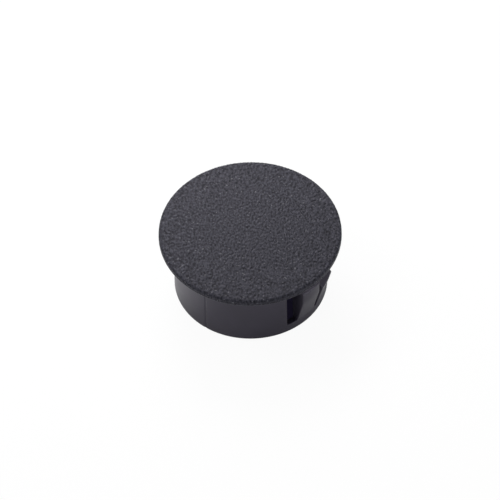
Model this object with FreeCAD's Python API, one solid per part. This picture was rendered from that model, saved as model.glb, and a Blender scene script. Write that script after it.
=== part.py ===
import FreeCAD, Part
import math
import os

# Plastic hole plug, one moulding: a round head, a hollow skirt and snap fingers in two side windows.
# Millimetres. The origin is the centre of the bottom edge, +Z runs up the axis to the head.
# The two windows face +X and -X, and the part looks the same after half a turn about Z.

# Head
head_diameter = 26.2
head_edge_thickness = 0.95
head_crown_rise = 0.2
head_top_edge_radius = 0.4
head_lower_edge_chamfer = 0.1

# Skirt, for a round hole of 22.2 mm in a panel
panel_hole_diameter = 22.2
skirt_hole_clearance = 0.1
skirt_length = 10.0
skirt_wall = 0.95
core_draft_angle = 0.5
skirt_bottom_edge_chamfer = 0.2
skirt_inner_edge_chamfer = 0.2
skirt_root_chamfer = 0.3

# Windows, open from the bottom ring up to the head
window_count = 2
window_angle = 57.8
window_corner_radius = 0.25
bottom_ring_height = 1.4

# Snap fingers, one tall and one short in each window
finger_angle_from_window_centre = 10.85
finger_width = 3.4
finger_foot_radius = 0.35
finger_foot_depth = 0.5
ramp_start_height = 1.5
ramp_angle = 14.1
finger_reach = 1.15
ramp_blend_radius = 3.0
tall_catch_height = 7.75
short_catch_height = 5.25
catch_depth = 0.9
catch_slope_angle = 45.0

# Sizes that follow from the ones above
head_radius = head_diameter / 2
skirt_radius = panel_hole_diameter / 2 - skirt_hole_clearance
head_edge_top = skirt_length + head_edge_thickness
ramp_slope = math.tan(math.radians(ramp_angle))
catch_rise = catch_depth * math.tan(math.radians(catch_slope_angle))
turn_axis = FreeCAD.Vector(0, 0, 1)
centre = FreeCAD.Vector(0, 0, 0)


def inner_radius(height):
    """Radius of the cavity at a height: the moulding core narrows a little towards the head."""
    mouth_radius = skirt_radius - skirt_wall
    return mouth_radius - height * math.tan(math.radians(core_draft_angle))


def point(radius, height):
    return FreeCAD.Vector(radius, 0, height)


def line(start, end):
    return Part.LineSegment(start, end).toShape()


def round_corner(before, corner, after, radius):
    """Tangent arc that rounds a corner of a section: its first point, its last point and its edge."""
    towards_before = (before - corner).normalize()
    towards_after = (after - corner).normalize()
    half_angle = towards_before.getAngle(towards_after) / 2
    start = corner + towards_before * (radius / math.tan(half_angle))
    end = corner + towards_after * (radius / math.tan(half_angle))
    bisector = (towards_before + towards_after).normalize()
    middle = corner + bisector * (radius / math.sin(half_angle) - radius)
    return start, end, Part.Arc(start, middle, end).toShape()


def section_face(corners):
    """Closed section from corners, each a point with the radius that rounds it, or 0 for a sharp one."""
    edges = []
    first_start = None
    last_end = None
    for index, (corner, radius) in enumerate(corners):
        before = corners[index - 1][0]
        after = corners[(index + 1) % len(corners)][0]
        start, end, arc = (corner, corner, None)
        if radius > 0:
            start, end, arc = round_corner(before, corner, after, radius)
        if first_start is None:
            first_start = start
        else:
            edges.append(line(last_end, start))
        if arc is not None:
            edges.append(arc)
        last_end = end
    edges.append(line(last_end, first_start))
    return Part.Face(Part.Wire(edges))


def turned(face):
    return face.revolve(centre, turn_axis, 360)


def make_head():
    """Thin disc, flat below and slightly crowned above, with a softly rounded upper edge."""
    crown_top = head_edge_top + head_crown_rise
    crown_reach = head_radius - head_top_edge_radius
    crown_radius = (crown_reach**2 + head_crown_rise**2) / (2 * head_crown_rise)
    crown_drop = crown_radius - math.sqrt(crown_radius**2 - (crown_reach / 2) ** 2)
    crown_end = point(crown_reach, head_edge_top)
    crown = Part.Arc(crown_end, point(crown_reach / 2, crown_top - crown_drop), point(0, crown_top))
    edge_end = point(head_radius, head_edge_top - head_top_edge_radius)
    inset = head_top_edge_radius * (1 - math.sqrt(0.5))
    edge_round = Part.Arc(edge_end, point(head_radius - inset, head_edge_top - inset), crown_end)
    lower_outer = point(head_radius, skirt_length + head_lower_edge_chamfer)
    lower_inner = point(head_radius - head_lower_edge_chamfer, skirt_length)
    edges = [
        line(point(0, skirt_length), lower_inner),
        line(lower_inner, lower_outer),
        line(lower_outer, edge_end),
        edge_round.toShape(),
        crown.toShape(),
        line(point(0, crown_top), point(0, skirt_length)),
    ]
    return turned(Part.Face(Part.Wire(edges)))


def make_skirt():
    """Hollow wall with a lead-in chamfer below and a strengthened root where it meets the head."""
    outer = skirt_bottom_edge_chamfer
    inner = skirt_inner_edge_chamfer
    root_start_height = skirt_length - skirt_root_chamfer
    root_start = point(inner_radius(root_start_height), root_start_height)
    corners = [
        (point(inner_radius(0) + inner, 0), 0),
        (point(skirt_radius - outer, 0), 0),
        (point(skirt_radius, outer), 0),
        (point(skirt_radius, skirt_length), 0),
        (point(root_start.x - skirt_root_chamfer, skirt_length), 0),
        (root_start, 0),
        (point(inner_radius(inner), inner), 0),
    ]
    return turned(section_face(corners))


def window_centre_angles():
    return [360 * index / window_count for index in range(window_count)]


def make_window_cutter(centre_angle):
    """Slice of a cylinder that clears one window from the bottom ring up."""
    height = skirt_length - bottom_ring_height
    base = FreeCAD.Vector(0, 0, bottom_ring_height)
    cutter = Part.makeCylinder(head_radius, height, base, turn_axis, window_angle)
    cutter.rotate(centre, turn_axis, centre_angle - window_angle / 2)
    return cutter


def is_window_corner(edge):
    """True for the short radial edges where a window's side walls meet the bottom ring."""
    ends = [vertex.Point for vertex in edge.Vertexes]
    if len(ends) != 2:
        return False
    on_ring_top = all(abs(end.z - bottom_ring_height) < 1e-6 for end in ends)
    radii = [math.hypot(end.x, end.y) for end in ends]
    return on_ring_top and abs(radii[0] - radii[1]) > skirt_wall / 2


def cut_windows(skirt):
    for centre_angle in window_centre_angles():
        skirt = skirt.cut(make_window_cutter(centre_angle))
    corners = [edge for edge in skirt.Edges if is_window_corner(edge)]
    return skirt.makeFillet(window_corner_radius, corners)


def finger_section(catch_height):
    """Wedge: straight inner face, flush foot, slanted lead-in, land where it is tall enough, sloped catch."""
    foot = bottom_ring_height - finger_foot_depth
    ramp_end = ramp_start_height + finger_reach / ramp_slope
    top = catch_height + catch_rise
    corners = [
        (point(inner_radius(foot), foot), 0),
        (point(skirt_radius, foot), 0),
        (point(skirt_radius, ramp_start_height), 0),
    ]
    if catch_height > ramp_end:
        catch_radius = skirt_radius + finger_reach
        corners.append((point(catch_radius, ramp_end), ramp_blend_radius))
    else:
        catch_radius = skirt_radius + (catch_height - ramp_start_height) * ramp_slope
    corners.append((point(catch_radius, catch_height), 0))
    corners.append((point(catch_radius - catch_depth, top), 0))
    corners.append((point(inner_radius(top), top), 0))
    return section_face(corners)


def finger_outline(catch_height):
    """The finger seen from outside: parallel sides that flare into rounded feet on the bottom ring."""
    half = finger_width / 2
    foot = bottom_ring_height - finger_foot_depth
    ring = bottom_ring_height
    radius = finger_foot_radius
    top = catch_height + catch_rise
    bulge = radius * (1 - math.sqrt(0.5))

    def spot(across, height):
        return FreeCAD.Vector(0, across, height)

    right_arc = Part.Arc(
        spot(half + radius, ring),
        spot(half + bulge, ring + bulge),
        spot(half, ring + radius),
    )
    left_arc = Part.Arc(
        spot(-half, ring + radius),
        spot(-half - bulge, ring + bulge),
        spot(-half - radius, ring),
    )
    edges = [
        line(spot(-half - radius, foot), spot(half + radius, foot)),
        line(spot(half + radius, foot), spot(half + radius, ring)),
        right_arc.toShape(),
        line(spot(half, ring + radius), spot(half, top)),
        line(spot(half, top), spot(-half, top)),
        line(spot(-half, top), spot(-half, ring + radius)),
        left_arc.toShape(),
        line(spot(-half - radius, ring), spot(-half - radius, foot)),
    ]
    outline = Part.Face(Part.Wire(edges))
    return outline.extrude(FreeCAD.Vector(head_radius, 0, 0))


def make_finger(catch_height, angle):
    finger = turned(finger_section(catch_height)).common(finger_outline(catch_height))
    finger.rotate(centre, turn_axis, angle)
    return finger


def make_fingers():
    fingers = []
    for centre_angle in window_centre_angles():
        offset = finger_angle_from_window_centre
        fingers.append(make_finger(tall_catch_height, centre_angle - offset))
        fingers.append(make_finger(short_catch_height, centre_angle + offset))
    return fingers


def make_hole_plug():
    plug = cut_windows(make_skirt())
    plug = plug.fuse(make_fingers() + [make_head()])
    return plug.removeSplitter()


os.makedirs("parts", exist_ok=True)
hole_plug = make_hole_plug()
hole_plug.exportStep("parts/hole_plug.step")
box = hole_plug.BoundBox
print("solids", len(hole_plug.Solids), "valid", hole_plug.isValid(), "volume", round(hole_plug.Volume, 2))
print("box", round(box.XLength, 3), round(box.YLength, 3), round(box.ZMin, 3), round(box.ZMax, 3))
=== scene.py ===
import math
import bpy
import bmesh
import numpy as np
from mathutils import Matrix, Vector
from mathutils.geometry import delaunay_2d_cdt


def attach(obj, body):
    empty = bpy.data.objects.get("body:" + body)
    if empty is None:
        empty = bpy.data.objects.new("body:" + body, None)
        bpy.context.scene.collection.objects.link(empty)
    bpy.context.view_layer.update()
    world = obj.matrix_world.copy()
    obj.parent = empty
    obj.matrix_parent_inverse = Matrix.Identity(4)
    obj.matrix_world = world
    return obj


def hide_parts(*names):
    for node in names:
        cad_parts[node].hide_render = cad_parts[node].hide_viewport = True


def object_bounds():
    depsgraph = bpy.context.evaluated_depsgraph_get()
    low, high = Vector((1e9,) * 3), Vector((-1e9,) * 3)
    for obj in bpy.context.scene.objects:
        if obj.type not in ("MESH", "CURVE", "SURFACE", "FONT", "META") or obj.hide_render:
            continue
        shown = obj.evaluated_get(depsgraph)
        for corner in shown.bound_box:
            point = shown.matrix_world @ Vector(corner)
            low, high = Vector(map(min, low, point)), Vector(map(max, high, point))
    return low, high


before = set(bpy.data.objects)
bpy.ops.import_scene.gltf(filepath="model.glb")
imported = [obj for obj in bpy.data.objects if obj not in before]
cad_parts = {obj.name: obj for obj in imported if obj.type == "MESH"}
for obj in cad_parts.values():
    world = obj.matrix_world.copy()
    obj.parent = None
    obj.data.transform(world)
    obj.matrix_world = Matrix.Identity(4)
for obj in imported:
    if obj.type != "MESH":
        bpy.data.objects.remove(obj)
cad_low, cad_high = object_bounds()

# Sizes of the moulding in millimetres, in the part's own frame: +Z up, windows facing +X and -X.
# The head stays a little inside the box of the solid that it replaces.
MM = 0.001
BOX_MARGIN = 0.002
HEAD_RADIUS = min(cad_high.x, cad_high.y) / MM - BOX_MARGIN
HEAD_TOP = cad_high.z / MM
CROWN_RISE = 0.2
HEAD_EDGE_TOP = HEAD_TOP - CROWN_RISE
HEAD_EDGE_THICKNESS = 0.95
HEAD_EDGE_ROUND = 0.4
HEAD_LOWER_ROUND = 0.1
UNDERSIDE = HEAD_EDGE_TOP - HEAD_EDGE_THICKNESS
SKIRT_RADIUS = 11.0
SKIRT_WALL = 0.95
CORE_DRAFT = math.tan(math.radians(0.5))
ROOT_ROUND = 0.3
RING_HEIGHT = 1.4
WINDOW_HALF_ANGLE = math.radians(28.9)
WINDOW_CORNER = 0.25
FINGER_OFFSET = math.radians(10.85)
FINGER_HALF_WIDTH = 1.7
FINGER_FOOT = 0.35
FINGER_TOP_CORNER = 0.2
FINGER_REACH = 1.15
RAMP_START = 1.5
RAMP_SLOPE = math.tan(math.radians(14.1))
TALL_CATCH = 7.75
SHORT_CATCH = 5.25
CATCH_DEPTH = 0.9
PARTING_ANGLE = math.radians(87.0)
PARTING_HALF_WIDTH = 0.14
PARTING_DEPTH = 0.11

# Rounding in millimetres: the radius along the mouth and the windows, and the lengths over which
# a ramp starts, a ramp ends and a catch turns.
EDGE_ROUND = 0.08
RAMP_START_BLEND = 0.06
RAMP_END_BLEND = 0.16
CATCH_BLEND = 0.12

# Places on the unrolled wall: lengths round the skirt from the middle of the window.
WINDOW_SIDE = WINDOW_HALF_ANGLE * SKIRT_RADIUS
FINGER_CENTRE = FINGER_OFFSET * SKIRT_RADIUS
PARTING_LINE = PARTING_ANGLE * SKIRT_RADIUS
HALF_WALL_END = math.pi / 2 * SKIRT_RADIUS

# Each finger's centre on the unrolled wall and its catch height.
SHORT_FINGER = (FINGER_CENTRE, SHORT_CATCH)
TALL_FINGER = (-FINGER_CENTRE, TALL_CATCH)

# Mesh fineness: lengths in millimetres, turns in degrees, and numbers of steps, cells, rows or
# columns. At a catch and at the parting line they are counted to each side.
EDGE_STEP = 0.16
CORNER_STEP = EDGE_STEP / 2
LONG_STEP = EDGE_STEP * 2
WALL_STEP = 0.45
CATCH_ROWS = 2
CATCH_ROW_STEP = 0.08
CATCH_COLUMNS = 6
CATCH_COLUMN_STEP = 0.23
PARTING_COLUMNS = 2
PARTING_ROWS_PER_ROW = 4
BORDER_GAP = 0.07
EDGE_ROUND_STEPS = 4
TOP_CELLS = 240
RIM_ROUND_DEGREES = 15
RIM_BAND_ROWS = 4
LOWER_ROUND_DEGREES = 30

# Lengths in millimetres below which points count as one, and what a triangulation keeps.
TINY = 1e-9
WELD_DISTANCE = 1e-4
WALL_TOLERANCE = 1e-7
UNDERSIDE_TOLERANCE = 1e-5
ALL_TRIANGLES = 0
INNER_TRIANGLES = 1

# Spark-eroded grain of the head's top and edge: the seed and the cells of a random field, its
# wavelength, its band's width as a share of its frequency, its limit in standard deviations, the
# height and the stretch over which it fades out in millimetres, and how much longer the grain is
# along the line of sight than across it.
GRAIN_SEED = 11
GRAIN_CELLS = 512
GRAIN_WAVELENGTH = 0.5
GRAIN_BAND = 0.42
GRAIN_LIMIT = 2.6
GRAIN_HEIGHT = 0.036
GRAIN_FADE = 1.0
GRAIN_STRETCH = 1.4

# Order of the plug's materials.
SATIN = 0
GRAINED_TOP = 1
# The rim's material is the top's grain made lighter: painted light on the head's edge.
GRAINED_RIM_PAINTED_LIGHT = 2

# Black nylon. Colours are linear, noise scales count per metre, and bump heights are in metres.
NYLON_IOR = 1.53
NYLON_TINT = (0.89, 0.83, 1.0, 1.0)
NOISE_MIDDLE = (0.3, 0.7)
SATIN_DARK = (0.014, 0.0125, 0.021)
SATIN_LIGHT = (0.019, 0.017, 0.028)
SATIN_ROUGHNESS = (0.33, 0.41)
SATIN_CLOUD_SCALE = 220.0
SATIN_FINE_SCALE = 2500.0
SATIN_DETAIL = 3.0
SATIN_BUMP = 0.25
SATIN_BUMP_HEIGHT = 0.00002
GRAIN_SPECULAR = 0.17
GRAIN_DARK = (0.0052, 0.0055, 0.0074)
GRAIN_LIGHT = (0.034, 0.0344, 0.0448)
# The brightest grain colour is painted glints: bright spots that stand in for the grain's sparkle.
GRAIN_GLINT = (0.1, 0.1, 0.11)
GRAIN_ROUGHNESS = (0.62, 0.50)
MOTTLE_SCALE = 3700.0
MOTTLE_DETAIL = 1.0
MOTTLE_BUMP = 0.7
MOTTLE_BUMP_HEIGHT = 0.00006
# Noise scale, detail and range that place the painted glints.
GLINT_SCALE = 3500.0
GLINT_DETAIL = 0.0
GLINT_RANGE = (0.73, 0.85)
# How much lighter the rim's grain colours are than the top's: painted light on the head's edge.
RIM_PAINTED_LIGHT = 1.25

# White floor: its half width in metres, its colour in the open and the painted shade that it takes
# under the plug, how much of its look is its own white, the light that it adds, and how far it
# takes the painted shade under the plug for light that the camera doesn't see directly.
FLOOR_HALF_WIDTH = 3.0
FLOOR_WHITE = (0.9, 0.9, 0.9, 1)
# Under the plug the floor is painted this dark blue as shade, not its own colour.
CAVITY_PAINTED_SHADE = (0.053, 0.045, 0.1, 1)
FLOOR_GLOW = 0.93
FLOOR_LIFT = 0.08
CAVITY_SHADE = 0.7

# Light of the white surroundings, and the lamps: name, angle from the front and elevation in
# degrees, distance and diameter in metres, and watts.
WORLD_LEVEL = 0.57
LAMPS = (
    ("key", 190, 35, 0.12, 0.07, 0.098),
    ("high", 205, 50, 0.12, 0.07, 0.028),
    ("back", 180, 15, 0.15, 0.08, 0.025),
    ("left_high", 255, 42, 0.35, 0.16, 0.325),
    ("right_high", 85, 42, 0.35, 0.12, 0.05),
    ("right", 65, 8, 0.35, 0.15, 0.15),
)

# The photograph's view, measured in its 500 x 500 pixels, and the camera's sizes in metres and
# its sensor in millimetres.
FRAME_PIXELS = 500
HEAD_RADIUS_PIXELS = 91.7
HEAD_CENTRE_RIGHT_PIXELS = 0.08
HEAD_CENTRE_UP_PIXELS = 19.2
FRONT_ANGLE = math.radians(-56.4)
CAMERA_ELEVATION = math.radians(50.39)
CAMERA_ROLL = math.radians(1.05)
CAMERA_DISTANCE = 1060 * MM
NEAREST_SEEN = 0.01
FARTHEST_SEEN = 20.0
SENSOR_WIDTH = 36.0


# Outline of the unrolled wall

def line_points(start, end, step):
    """Evenly spaced points from start up to, but not including, end."""
    start = np.array(start, float)
    end = np.array(end, float)
    count = max(1, round(float(np.linalg.norm(end - start)) / step))
    return [tuple(start + (end - start) * index / count) for index in range(count)]


def arc_points(middle, radius, first, last, step):
    """Points on an arc from the first angle up to, but not including, the last, in degrees."""
    count = max(3, round(radius * math.radians(abs(last - first)) / step))
    points = []
    for index in range(count):
        angle = math.radians(first + (last - first) * index / count)
        points.append((middle[0] + radius * math.cos(angle), middle[1] + radius * math.sin(angle)))
    return points


def finger_edge(centre, catch):
    """One finger's outline seen from outside, walked from its right foot to its left foot."""
    right = centre + FINGER_HALF_WIDTH
    left = centre - FINGER_HALF_WIDTH
    top = catch + CATCH_DEPTH
    corner = FINGER_TOP_CORNER
    foot = FINGER_FOOT
    foot_top = RING_HEIGHT + foot
    points = arc_points((right + foot, foot_top), foot, 270, 180, EDGE_STEP)
    points += line_points((right, foot_top), (right, top - corner), EDGE_STEP)
    points += arc_points((right - corner, top - corner), corner, 0, 90, CORNER_STEP)
    points += line_points((right - corner, top), (left + corner, top), EDGE_STEP)
    points += arc_points((left + corner, top - corner), corner, 90, 180, CORNER_STEP)
    points += line_points((left, top - corner), (left, foot_top), EDGE_STEP)
    points += arc_points((left - foot, foot_top), foot, 0, -90, EDGE_STEP)
    points.append((left - foot, RING_HEIGHT))
    return points


def window_edge():
    """The window's free edge, walked from its right top corner down, along the fingers and up again."""
    side = WINDOW_SIDE
    corner = WINDOW_CORNER
    ring = RING_HEIGHT
    short = finger_edge(*SHORT_FINGER)
    tall = finger_edge(*TALL_FINGER)
    points = line_points((side, UNDERSIDE), (side, ring + corner), LONG_STEP)
    points += arc_points((side - corner, ring + corner), corner, 0, -90, CORNER_STEP)
    points += line_points((side - corner, ring), short[0], EDGE_STEP)
    points += short[:-1]
    points += line_points(short[-1], tall[0], EDGE_STEP)
    points += tall[:-1]
    points += line_points(tall[-1], (-side + corner, ring), EDGE_STEP)
    points += arc_points((-side + corner, ring + corner), corner, 270, 180, CORNER_STEP)
    points += line_points((-side, ring + corner), (-side, UNDERSIDE), LONG_STEP)
    points.append((-side, UNDERSIDE))
    return points


def inset(points, distance):
    """The same open edge moved to its left, into the material, by a distance."""
    moved = []
    spots = np.array(points)
    for index in range(len(spots)):
        before = spots[max(index - 1, 0)]
        after = spots[min(index + 1, len(spots) - 1)]
        along = np.zeros(2)
        for part in (spots[index] - before, after - spots[index]):
            length = np.linalg.norm(part)
            if length > TINY:
                along += part / length
        along /= np.linalg.norm(along)
        moved.append((spots[index][0] - along[1] * distance, spots[index][1] + along[0] * distance))
    return moved


# From the unrolled wall to the turned one

def soft_min(first, second, blend):
    """The smaller value, with the corner between the two rounded off over the length blend."""
    overlap = max(blend - abs(first - second), 0.0) / blend
    return min(first, second) - overlap * overlap * blend / 4


def soft_max(first, second, blend):
    return -soft_min(-first, -second, blend)


def finger_at(across, height):
    """The finger that holds this point of the unrolled wall, or None."""
    foot_end = FINGER_CENTRE + FINGER_HALF_WIDTH + FINGER_FOOT
    wall_start = WINDOW_SIDE - WINDOW_CORNER
    if height <= RING_HEIGHT or abs(across) > (foot_end + wall_start) / 2:
        return None
    return SHORT_FINGER if across > 0 else TALL_FINGER


def outer_radius(across, height):
    """Radius of the outer face: the skirt with its parting line, or a finger's ramp, land and catch."""
    finger = finger_at(across, height)
    if finger is None:
        gap = abs(across - PARTING_LINE)
        groove = max(0.0, 1 - gap / PARTING_HALF_WIDTH) * PARTING_DEPTH
        return SKIRT_RADIUS - groove
    catch = finger[1]
    reach = SKIRT_RADIUS + FINGER_REACH
    ramp = SKIRT_RADIUS + soft_max((height - RAMP_START) * RAMP_SLOPE, 0.0, RAMP_START_BLEND)
    leaned = soft_min(ramp, reach, RAMP_END_BLEND)
    catch_radius = min(reach, SKIRT_RADIUS + (catch - RAMP_START) * RAMP_SLOPE)
    return soft_min(leaned, catch_radius - (height - catch), CATCH_BLEND)


def inner_radius(height):
    """Radius of the cavity: drafted, and narrowed by a round where the wall meets the head."""
    radius = SKIRT_RADIUS - SKIRT_WALL - height * CORE_DRAFT
    into_root = height - (UNDERSIDE - ROOT_ROUND)
    if into_root > 0:
        radius -= ROOT_ROUND - math.sqrt(max(ROOT_ROUND**2 - into_root**2, 0.0))
    return radius


def wall_point(across, height, radius):
    """Place on the turned wall. A finger's sides are parallel, so it isn't wider where it leans out."""
    angle = across / SKIRT_RADIUS
    finger = finger_at(across, height)
    if finger is not None:
        centre = finger[0] / SKIRT_RADIUS
        sideways = SKIRT_RADIUS * math.sin(angle - centre)
        parallel = centre + math.asin(max(-1.0, min(1.0, sideways / radius)))
        share = min(1.0, (height - RING_HEIGHT) / FINGER_FOOT)
        angle += (parallel - angle) * share
    return (radius * math.cos(angle), radius * math.sin(angle), height)


class Shell:
    """Points and faces in millimetres, gathered from several surfaces and welded at the end."""

    def __init__(self):
        self.points = []
        self.faces = []
        self.materials = []

    def add(self, points, faces, material=SATIN):
        start = len(self.points)
        self.points.extend(points)
        self.faces.extend(tuple(start + index for index in face) for face in faces)
        self.materials.extend([material] * len(faces))

    def add_strip(self, first, second, closed=False, material=SATIN):
        """Quads between two rows of the same number of points."""
        count = len(first)
        last = count if closed else count - 1
        faces = []
        for index in range(last):
            following = (index + 1) % count
            faces.append((index, following, count + following, count + index))
        self.add(list(first) + list(second), faces, material)


def inside(points, outline):
    """For each point, whether it lies in the closed outline."""
    x = points[:, 0]
    y = points[:, 1]
    result = np.zeros(len(points), bool)
    corners = np.array(outline)
    for start, end in zip(corners, np.roll(corners, -1, axis=0)):
        crosses = (start[1] > y) != (end[1] > y)
        rise = end[1] - start[1]
        if abs(rise) > TINY:
            limit = start[0] + (y - start[1]) * (end[0] - start[0]) / rise
            result ^= crosses & (x < limit)
    return result


def wall_fill(outline):
    """Loose points that make the wall's triangles even, with more at the catches and parting line."""
    spots = []
    rows = int(UNDERSIDE / WALL_STEP)
    columns = int(2 * HALF_WALL_END / WALL_STEP)
    for row in range(1, rows):
        # Every second row is shifted by half a column.
        shift = 0.75 if row % 2 else 0.25
        for column in range(columns + 1):
            across = -HALF_WALL_END + (column + shift) * 2 * HALF_WALL_END / columns
            spots.append((across, row * UNDERSIDE / rows))
    for centre, catch in (SHORT_FINGER, TALL_FINGER):
        for row in range(-CATCH_ROWS, CATCH_ROWS + 1):
            for column in range(-CATCH_COLUMNS, CATCH_COLUMNS + 1):
                spots.append((centre + column * CATCH_COLUMN_STEP, catch + row * CATCH_ROW_STEP))
    line_rows = PARTING_ROWS_PER_ROW * rows
    for column in range(-PARTING_COLUMNS, PARTING_COLUMNS + 1):
        for row in range(1, line_rows):
            spots.append((PARTING_LINE + column * PARTING_HALF_WIDTH, row * UNDERSIDE / line_rows))
    spots = np.array(spots)
    spots = spots[inside(spots, outline)]
    border = np.array(outline)
    keep = [np.hypot(border[:, 0] - x, border[:, 1] - y).min() > BORDER_GAP for x, y in spots]
    return spots[keep]


def round_steps():
    """How far each row of a rounded edge lies from the edge along the wall, and how deep it is sunk."""
    steps = []
    for index in range(EDGE_ROUND_STEPS + 1):
        turned = math.radians(90 * index / EDGE_ROUND_STEPS)
        steps.append((EDGE_ROUND * (1 - math.cos(turned)), EDGE_ROUND * (1 - math.sin(turned))))
    return steps


def add_half_wall(shell, turn):
    """Half of the skirt with one window and its fingers, turned about the axis by an angle."""
    end = HALF_WALL_END
    bottom = line_points((-end, 0), (end, 0), LONG_STEP)
    bottom.append((end, 0))
    window = window_edge()
    steps = round_steps()
    cosine = math.cos(turn)
    sine = math.sin(turn)

    def placed(points, sunk, outside):
        """Points of the unrolled wall on its outer or inner face, sunk into the material."""
        spots = []
        for across, height in points:
            radius = outer_radius(across, height) - sunk if outside else inner_radius(height) + sunk
            x, y, z = wall_point(across, height, radius)
            spots.append((x * cosine - y * sine, x * sine + y * cosine, z))
        return spots

    # Rounded edges, and the narrow face between the outer and the inner round
    for edge in (bottom, window):
        rows = [(inset(edge, distance), sunk) for distance, sunk in steps]
        for outside in (True, False):
            for (first, first_sunk), (second, second_sunk) in zip(rows, rows[1:]):
                shell.add_strip(placed(first, first_sunk, outside), placed(second, second_sunk, outside))
        shell.add_strip(placed(edge, EDGE_ROUND, True), placed(edge, EDGE_ROUND, False))

    # Outer and inner face, as far as the rounds
    low = inset(bottom, EDGE_ROUND)
    high = inset(window, EDGE_ROUND)
    outline = low[:-1]
    outline += line_points(low[-1], (end, UNDERSIDE), LONG_STEP)
    outline += line_points((end, UNDERSIDE), high[0], LONG_STEP)
    outline += high[:-1]
    outline += line_points(high[-1], (-end, UNDERSIDE), LONG_STEP)
    outline += line_points((-end, UNDERSIDE), low[0], LONG_STEP)
    spots = [Vector(spot) for spot in outline]
    spots += [Vector(spot) for spot in wall_fill(outline)]
    loop = list(range(len(outline)))
    flat = delaunay_2d_cdt(spots, [], [loop], INNER_TRIANGLES, WALL_TOLERANCE)
    points = [tuple(spot) for spot in flat[0]]
    for outside in (True, False):
        shell.add(placed(points, 0.0, outside), flat[2])


# Head

def grain_field():
    """Height of the grain on a square grid over the head: smooth noise of one wavelength, from a seed."""
    random = np.random.RandomState(GRAIN_SEED)
    white = random.standard_normal((GRAIN_CELLS, GRAIN_CELLS))
    width = 2 * HEAD_RADIUS
    frequency = np.fft.fftfreq(GRAIN_CELLS, width / GRAIN_CELLS)
    across, along = np.meshgrid(frequency, frequency)
    waves = np.hypot(across, along) * GRAIN_WAVELENGTH
    band = np.exp(-((waves - 1.0) ** 2) / (2 * GRAIN_BAND**2))
    field = np.fft.ifft2(np.fft.fft2(white) * band).real
    return field / field.std()


def sample_field(field, x, y):
    """The field at places in millimetres from the axis, drawn out along the line of sight."""
    scale = GRAIN_CELLS / (2 * HEAD_RADIUS)
    along = (x * math.cos(FRONT_ANGLE) + y * math.sin(FRONT_ANGLE)) / GRAIN_STRETCH
    across = y * math.cos(FRONT_ANGLE) - x * math.sin(FRONT_ANGLE)
    along = (along + HEAD_RADIUS) * scale
    across = (across + HEAD_RADIUS) * scale
    column = np.floor(along).astype(int)
    row = np.floor(across).astype(int)
    column_share = along - column
    row_share = across - row
    column %= GRAIN_CELLS
    row %= GRAIN_CELLS
    right = (column + 1) % GRAIN_CELLS
    above = (row + 1) % GRAIN_CELLS
    low = field[row, column] * (1 - column_share) + field[row, right] * column_share
    high = field[above, column] * (1 - column_share) + field[above, right] * column_share
    return low * (1 - row_share) + high * row_share


def grain_depth(field, x, y):
    """How far the grain cuts into the smooth surface, from nothing to twice GRAIN_HEIGHT."""
    return GRAIN_HEIGHT * np.clip(1.0 - sample_field(field, x, y) / GRAIN_LIMIT, 0, 2)


def point_list(x, y, z):
    """Points from three arrays of coordinates."""
    return list(zip(x.tolist(), y.tolist(), z.tolist()))


def disc_grid(cells):
    """A square grid bent into a disc of radius 1, with even cells: its x and y."""
    places = np.linspace(-1, 1, cells + 1)
    across, along = np.meshgrid(places, places)
    wide = np.abs(across) > np.abs(along)
    safe_across = np.where(across == 0, 1, across)
    safe_along = np.where(along == 0, 1, along)
    radius = np.where(wide, across, along)
    wide_angle = math.pi / 4 * along / safe_across
    tall_angle = math.pi / 2 - math.pi / 4 * across / safe_along
    angle = np.where(wide, wide_angle, tall_angle)
    return radius * np.cos(angle), radius * np.sin(angle)


def crown_height(radius):
    reach = HEAD_RADIUS - HEAD_EDGE_ROUND
    return HEAD_EDGE_TOP + CROWN_RISE * (1 - (radius / reach) ** 2)


def add_top(shell, field):
    """The crowned and grained disc, as far as the rounded edge."""
    reach = HEAD_RADIUS - HEAD_EDGE_ROUND
    x, y = disc_grid(TOP_CELLS)
    x = x.ravel() * reach
    y = y.ravel() * reach
    height = crown_height(np.hypot(x, y)) - grain_depth(field, x, y)
    width = TOP_CELLS + 1
    faces = []
    for row in range(TOP_CELLS):
        for column in range(TOP_CELLS):
            corner = row * width + column
            faces.append((corner, corner + 1, corner + width + 1, corner + width))
    shell.add(point_list(x, y, height), faces, GRAINED_TOP)


def ring_angles():
    """Angles of the points on each ring of the head. They meet the disc's border, from a corner on."""
    count = 4 * TOP_CELLS
    return 2 * math.pi * (np.arange(count) + 0.5 * TOP_CELLS) / count


def ring_points(radius, height):
    angles = ring_angles()
    return point_list(radius * np.cos(angles), radius * np.sin(angles), np.full(len(angles), height))


def rim_profile():
    """Radius, height, outward direction and run from the disc for each ring of the grained edge."""
    round_radius = HEAD_RADIUS - HEAD_EDGE_ROUND
    round_height = HEAD_EDGE_TOP - HEAD_EDGE_ROUND
    profile = []
    for angle in range(90, -1, -RIM_ROUND_DEGREES):
        turned = math.radians(angle)
        side = math.cos(turned)
        rise = math.sin(turned)
        radius = round_radius + HEAD_EDGE_ROUND * side
        height = round_height + HEAD_EDGE_ROUND * rise
        run = HEAD_EDGE_ROUND * (math.pi / 2 - turned)
        profile.append((radius, height, side, rise, run))
    band = round_height - UNDERSIDE - HEAD_LOWER_ROUND
    for row in range(1, RIM_BAND_ROWS + 1):
        down = band * row / RIM_BAND_ROWS
        profile.append((HEAD_RADIUS, round_height - down, 1.0, 0.0, run + down))
    return profile


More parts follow.
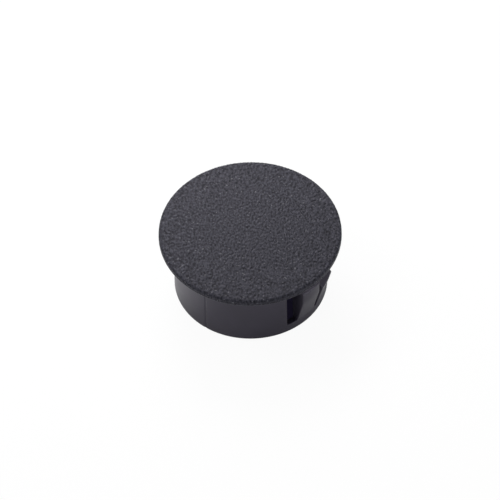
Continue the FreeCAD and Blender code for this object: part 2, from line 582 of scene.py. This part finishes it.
def add_rim(shell, field):
    """Rounded upper edge and upright band. The top's grain runs on over them and fades out below."""
    profile = rim_profile()
    end = profile[-1][4]
    angles = ring_angles()
    cosines = np.cos(angles)
    sines = np.sin(angles)
    rings = []
    for radius, height, side, rise, run in profile:
        flat = HEAD_RADIUS - HEAD_EDGE_ROUND + run
        cut = grain_depth(field, flat * cosines, flat * sines) * min(1.0, (end - run) / GRAIN_FADE)
        spread = radius - cut * side
        rings.append(point_list(spread * cosines, spread * sines, height - cut * rise))
    for upper, lower in zip(rings, rings[1:]):
        shell.add_strip(upper, lower, closed=True, material=GRAINED_RIM_PAINTED_LIGHT)


def add_lower_round(shell):
    """The small round from the upright band to the head's underside."""
    rings = []
    for angle in range(0, -91, -LOWER_ROUND_DEGREES):
        turned = math.radians(angle)
        radius = HEAD_RADIUS - HEAD_LOWER_ROUND + HEAD_LOWER_ROUND * math.cos(turned)
        height = UNDERSIDE + HEAD_LOWER_ROUND + HEAD_LOWER_ROUND * math.sin(turned)
        rings.append(ring_points(radius, height))
    for upper, lower in zip(rings, rings[1:]):
        shell.add_strip(upper, lower, closed=True)


def add_underside(shell, border):
    """Flat face between the rim and the wall, and inside the wall. border holds the wall's upper edges."""
    rim = ring_points(HEAD_RADIUS - HEAD_LOWER_ROUND, UNDERSIDE)
    spots = [Vector(spot[:2]) for spot in rim]
    edges = [(index, (index + 1) % len(rim)) for index in range(len(rim))]
    for start, end in border:
        edges.append((len(spots), len(spots) + 1))
        spots.append(Vector(start[:2]))
        spots.append(Vector(end[:2]))
    flat = delaunay_2d_cdt(spots, edges, [], ALL_TRIANGLES, UNDERSIDE_TOLERANCE)
    points = [(spot.x, spot.y, UNDERSIDE) for spot in flat[0]]
    middle_radius = (SKIRT_RADIUS + inner_radius(UNDERSIDE)) / 2
    half_wall = (SKIRT_RADIUS - inner_radius(UNDERSIDE)) / 2
    faces = []
    for face in flat[2]:
        middle = sum((flat[0][index] for index in face), Vector((0, 0))) / len(face)
        angle = math.atan2(middle.y, abs(middle.x))
        over_wall = abs(angle) > WINDOW_HALF_ANGLE and abs(middle.length - middle_radius) < half_wall
        if not over_wall:
            faces.append(tuple(face))
    shell.add(points, faces)


def build_bmesh(shell):
    """The gathered surfaces as one mesh, with points that meet welded."""
    mesh = bmesh.new()
    corners = [mesh.verts.new(point) for point in shell.points]
    for face, material in zip(shell.faces, shell.materials):
        made = mesh.faces.new([corners[index] for index in face])
        made.material_index = material
    bmesh.ops.remove_doubles(mesh, verts=mesh.verts, dist=WELD_DISTANCE)
    return mesh


def open_edges(mesh):
    """The ends of every edge that has one face."""
    edges = [edge for edge in mesh.edges if len(edge.link_faces) == 1]
    return [[tuple(corner.co) for corner in edge.verts] for edge in edges]


def make_plug():
    """The whole moulding as one closed mesh."""
    shell = Shell()
    add_half_wall(shell, 0.0)
    add_half_wall(shell, math.pi)
    wall = build_bmesh(shell)
    border = open_edges(wall)
    wall.free()
    add_underside(shell, border)
    field = grain_field()
    add_rim(shell, field)
    add_lower_round(shell)
    add_top(shell, field)
    whole = build_bmesh(shell)
    bmesh.ops.recalc_face_normals(whole, faces=whole.faces)
    bmesh.ops.scale(whole, vec=(MM, MM, MM), verts=whole.verts)
    for face in whole.faces:
        face.smooth = True
    open_count = sum(1 for edge in whole.edges if len(edge.link_faces) != 2)
    print("plug mesh", len(whole.verts), "points", len(whole.faces), "faces", open_count, "open edges")
    mesh = bpy.data.meshes.new("hole_plug_moulding")
    whole.to_mesh(mesh)
    whole.free()
    piece = bpy.data.objects.new("hole_plug_moulding", mesh)
    bpy.context.scene.collection.objects.link(piece)
    return piece


# Materials

def add_node(tree, kind, **settings):
    """A new node with the settings that are given by name."""
    node = tree.nodes.new(kind)
    for name, value in settings.items():
        setattr(node, name, value)
    return node


def add_noise(tree, place, scale, detail):
    """A noise over the coordinates that the output place gives."""
    noise = add_node(tree, "ShaderNodeTexNoise")
    noise.inputs["Scale"].default_value = scale
    noise.inputs["Detail"].default_value = detail
    tree.links.new(place, noise.inputs["Vector"])
    return noise


def add_range(tree, noise, taken, given=(0.0, 1.0)):
    """A noise's values in the range taken, spread over the range given."""
    spread = add_node(tree, "ShaderNodeMapRange")
    spread.inputs["From Min"].default_value = taken[0]
    spread.inputs["From Max"].default_value = taken[1]
    spread.inputs["To Min"].default_value = given[0]
    spread.inputs["To Max"].default_value = given[1]
    tree.links.new(noise.outputs["Fac"], spread.inputs["Value"])
    return spread


def add_colour(tree, factor, dark, light):
    """Colour between dark and light. dark is a colour or another colour mix."""
    colour = add_node(tree, "ShaderNodeMix", data_type="RGBA")
    if isinstance(dark, tuple):
        colour.inputs["A"].default_value = (*dark, 1)
    else:
        tree.links.new(dark.outputs["Result"], colour.inputs["A"])
    colour.inputs["B"].default_value = (*light, 1)
    tree.links.new(factor.outputs["Result"], colour.inputs["Factor"])
    return colour


def add_bump(tree, shader, noise, strength, height):
    bump = add_node(tree, "ShaderNodeBump")
    bump.inputs["Strength"].default_value = strength
    bump.inputs["Distance"].default_value = height
    tree.links.new(noise.outputs["Fac"], bump.inputs["Height"])
    tree.links.new(bump.outputs["Normal"], shader.inputs["Normal"])


def nylon(name):
    """A black nylon material with its node tree, its shader and its coordinates on the plug."""
    material = bpy.data.materials.new(name)
    material.use_nodes = True
    tree = material.node_tree
    shader = tree.nodes["Principled BSDF"]
    shader.inputs["IOR"].default_value = NYLON_IOR
    shader.inputs["Specular Tint"].default_value = NYLON_TINT
    place = add_node(tree, "ShaderNodeTexCoord")
    return material, tree, shader, place.outputs["Object"]


def satin_nylon():
    """The skirt and fingers: satin, with faint clouding of colour and gloss."""
    material, tree, shader, place = nylon("black_nylon_satin")
    cloud = add_noise(tree, place, SATIN_CLOUD_SCALE, SATIN_DETAIL)
    fine = add_noise(tree, place, SATIN_FINE_SCALE, SATIN_DETAIL)
    colour = add_colour(tree, add_range(tree, cloud, NOISE_MIDDLE), SATIN_DARK, SATIN_LIGHT)
    gloss = add_range(tree, cloud, NOISE_MIDDLE, SATIN_ROUGHNESS)
    tree.links.new(colour.outputs["Result"], shader.inputs["Base Color"])
    tree.links.new(gloss.outputs["Result"], shader.inputs["Roughness"])
    add_bump(tree, shader, fine, SATIN_BUMP, SATIN_BUMP_HEIGHT)
    return material


def grained_nylon(name, painted_light_factor):
    """The head's top or edge: duller, mottled at the grain's own size, with a few painted glints in its
    colour. The edge's copy has all its colours made lighter, as painted light.
    """
    material, tree, shader, place = nylon(name)
    shader.inputs["Specular IOR Level"].default_value = GRAIN_SPECULAR
    drawn_out = add_node(tree, "ShaderNodeMapping", vector_type="TEXTURE")
    drawn_out.inputs["Rotation"].default_value = (0.0, 0.0, FRONT_ANGLE)
    drawn_out.inputs["Scale"].default_value = (GRAIN_STRETCH, 1.0, 1.0)
    tree.links.new(place, drawn_out.inputs["Vector"])
    mottle = add_noise(tree, drawn_out.outputs["Vector"], MOTTLE_SCALE, MOTTLE_DETAIL)
    # Noise that places the painted glints in the grain.
    glint_noise = add_noise(tree, place, GLINT_SCALE, GLINT_DETAIL)
    dark = tuple(channel * painted_light_factor for channel in GRAIN_DARK)
    light = tuple(channel * painted_light_factor for channel in GRAIN_LIGHT)
    glint = tuple(channel * painted_light_factor for channel in GRAIN_GLINT)
    mottled = add_colour(tree, add_range(tree, mottle, NOISE_MIDDLE), dark, light)
    # Painted glints over the mottled colour.
    with_glints = add_colour(tree, add_range(tree, glint_noise, GLINT_RANGE), mottled, glint)
    gloss = add_range(tree, mottle, NOISE_MIDDLE, GRAIN_ROUGHNESS)
    tree.links.new(with_glints.outputs["Result"], shader.inputs["Base Color"])
    tree.links.new(gloss.outputs["Result"], shader.inputs["Roughness"])
    add_bump(tree, shader, mottle, MOTTLE_BUMP, MOTTLE_BUMP_HEIGHT)
    return material


def floor_material():
    """White floor: for the camera mostly its own white, so that it keeps only a faint shadow.

    Under the plug the camera sees it painted dark as shade, and other light sees it partly darkened, while
    it still throws light back into the cavity.
    """
    material = bpy.data.materials.new("white_floor_with_painted_shade")
    material.use_nodes = True
    tree = material.node_tree
    tree.nodes.clear()
    output = add_node(tree, "ShaderNodeOutputMaterial")
    matte = add_node(tree, "ShaderNodeBsdfDiffuse")
    lift = add_node(tree, "ShaderNodeEmission")
    lift.inputs["Strength"].default_value = FLOOR_LIFT
    lit = add_node(tree, "ShaderNodeAddShader")
    glow = add_node(tree, "ShaderNodeEmission")
    glow.inputs["Strength"].default_value = 1.0
    place = add_node(tree, "ShaderNodeTexCoord")
    reach = add_node(tree, "ShaderNodeVectorMath", operation="LENGTH")
    under = add_node(tree, "ShaderNodeMath", operation="LESS_THAN")
    under.inputs[1].default_value = (SKIRT_RADIUS - SKIRT_WALL / 2) * MM
    path = add_node(tree, "ShaderNodeLightPath")
    darkness = add_node(tree, "ShaderNodeMapRange")
    darkness.inputs["To Min"].default_value = CAVITY_SHADE
    darkness.inputs["To Max"].default_value = 1.0
    painted_shade = add_node(tree, "ShaderNodeMath", operation="MULTIPLY")
    # Colour of the floor: white in the open, painted shade under the plug.
    colour = add_node(tree, "ShaderNodeMix", data_type="RGBA")
    colour.inputs["A"].default_value = FLOOR_WHITE
    colour.inputs["B"].default_value = CAVITY_PAINTED_SHADE
    seen = add_node(tree, "ShaderNodeMath", operation="SUBTRACT", use_clamp=True)
    share = add_node(tree, "ShaderNodeMath", operation="MULTIPLY")
    share.inputs[1].default_value = FLOOR_GLOW
    mix = add_node(tree, "ShaderNodeMixShader")
    link = tree.links.new
    link(place.outputs["Object"], reach.inputs[0])
    link(reach.outputs["Value"], under.inputs[0])
    link(path.outputs["Is Camera Ray"], darkness.inputs["Value"])
    link(darkness.outputs["Result"], painted_shade.inputs[0])
    link(under.outputs["Value"], painted_shade.inputs[1])
    link(painted_shade.outputs["Value"], colour.inputs["Factor"])
    link(colour.outputs["Result"], matte.inputs["Color"])
    link(colour.outputs["Result"], lift.inputs["Color"])
    link(path.outputs["Is Camera Ray"], seen.inputs[0])
    link(painted_shade.outputs["Value"], seen.inputs[1])
    link(seen.outputs["Value"], share.inputs[0])
    link(share.outputs["Value"], mix.inputs["Fac"])
    link(matte.outputs["BSDF"], lit.inputs[0])
    link(lift.outputs["Emission"], lit.inputs[1])
    link(lit.outputs["Shader"], mix.inputs[1])
    link(glow.outputs["Emission"], mix.inputs[2])
    link(mix.outputs["Shader"], output.inputs["Surface"])
    return material


# Stage

def direction(angle_from_front, elevation):
    """Unit vector towards a place round the object: 0 is the camera's side and 90 the photograph's right."""
    turn = FRONT_ANGLE + math.radians(angle_from_front)
    rise = math.radians(elevation)
    return Vector((math.cos(turn) * math.cos(rise), math.sin(turn) * math.cos(rise), math.sin(rise)))


def add_floor():
    half = FLOOR_HALF_WIDTH
    corners = [(-half, -half, 0), (half, -half, 0), (half, half, 0), (-half, half, 0)]
    mesh = bpy.data.meshes.new("floor")
    mesh.from_pydata(corners, [], [(0, 1, 2, 3)])
    mesh.materials.append(floor_material())
    floor = bpy.data.objects.new("floor", mesh)
    bpy.context.scene.collection.objects.link(floor)


def add_world():
    """White surroundings: full white for the camera, and fainter as a light."""
    world = bpy.data.worlds.new("studio")
    bpy.context.scene.world = world
    world.use_nodes = True
    tree = world.node_tree
    tree.nodes.clear()
    output = add_node(tree, "ShaderNodeOutputWorld")
    back = add_node(tree, "ShaderNodeBackground")
    path = add_node(tree, "ShaderNodeLightPath")
    level = add_node(tree, "ShaderNodeMapRange")
    level.inputs["To Min"].default_value = WORLD_LEVEL
    level.inputs["To Max"].default_value = 1.0
    link = tree.links.new
    link(path.outputs["Is Camera Ray"], level.inputs["Value"])
    link(level.outputs["Result"], back.inputs["Strength"])
    link(back.outputs["Background"], output.inputs["Surface"])


def add_lamp(name, angle_from_front, elevation, distance, size, power):
    """Round lamp at a distance from the top of the head, facing it."""
    target = Vector((0, 0, HEAD_TOP * MM))
    light = bpy.data.lights.new(name, "AREA")
    light.shape = "DISK"
    light.size = size
    light.energy = power
    lamp = bpy.data.objects.new(name, light)
    lamp.location = target + direction(angle_from_front, elevation) * distance
    lamp.rotation_euler = (target - lamp.location).to_track_quat("-Z", "Y").to_euler()
    bpy.context.scene.collection.objects.link(lamp)


def add_camera():
    """Long lens that puts the head's centre and radius where the photograph has them."""
    data = bpy.data.cameras.new("camera")
    camera = bpy.data.objects.new("camera", data)
    bpy.context.scene.collection.objects.link(camera)
    bpy.context.scene.camera = camera
    pixel = HEAD_RADIUS * MM / HEAD_RADIUS_PIXELS
    data.sensor_width = SENSOR_WIDTH
    data.lens = SENSOR_WIDTH * CAMERA_DISTANCE / (FRAME_PIXELS * pixel)
    data.clip_start = NEAREST_SEEN
    data.clip_end = FARTHEST_SEEN
    towards = direction(0, math.degrees(CAMERA_ELEVATION))
    level_look = (-towards).to_track_quat("-Z", "Y").to_matrix().to_4x4()
    look = level_look @ Matrix.Rotation(-CAMERA_ROLL, 4, "Z")
    right = look.col[0].to_3d()
    up = look.col[1].to_3d()
    head_centre = Vector((0, 0, HEAD_EDGE_TOP * MM))
    aim = head_centre - right * HEAD_CENTRE_RIGHT_PIXELS * pixel - up * HEAD_CENTRE_UP_PIXELS * pixel
    camera.matrix_world = Matrix.Translation(aim + towards * CAMERA_DISTANCE) @ look


plug = make_plug()
plug.data.materials.append(satin_nylon())
plug.data.materials.append(grained_nylon("black_nylon_grain", 1.0))
# The rim gets a lighter copy of the grained nylon, as painted light.
plug.data.materials.append(grained_nylon("black_nylon_rim_painted_light", RIM_PAINTED_LIGHT))
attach(plug, "root")
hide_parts("hole_plug")
add_floor()
add_world()
for lamp_values in LAMPS:
    add_lamp(*lamp_values)
add_camera()
bpy.context.scene.view_settings.view_transform = "Standard"
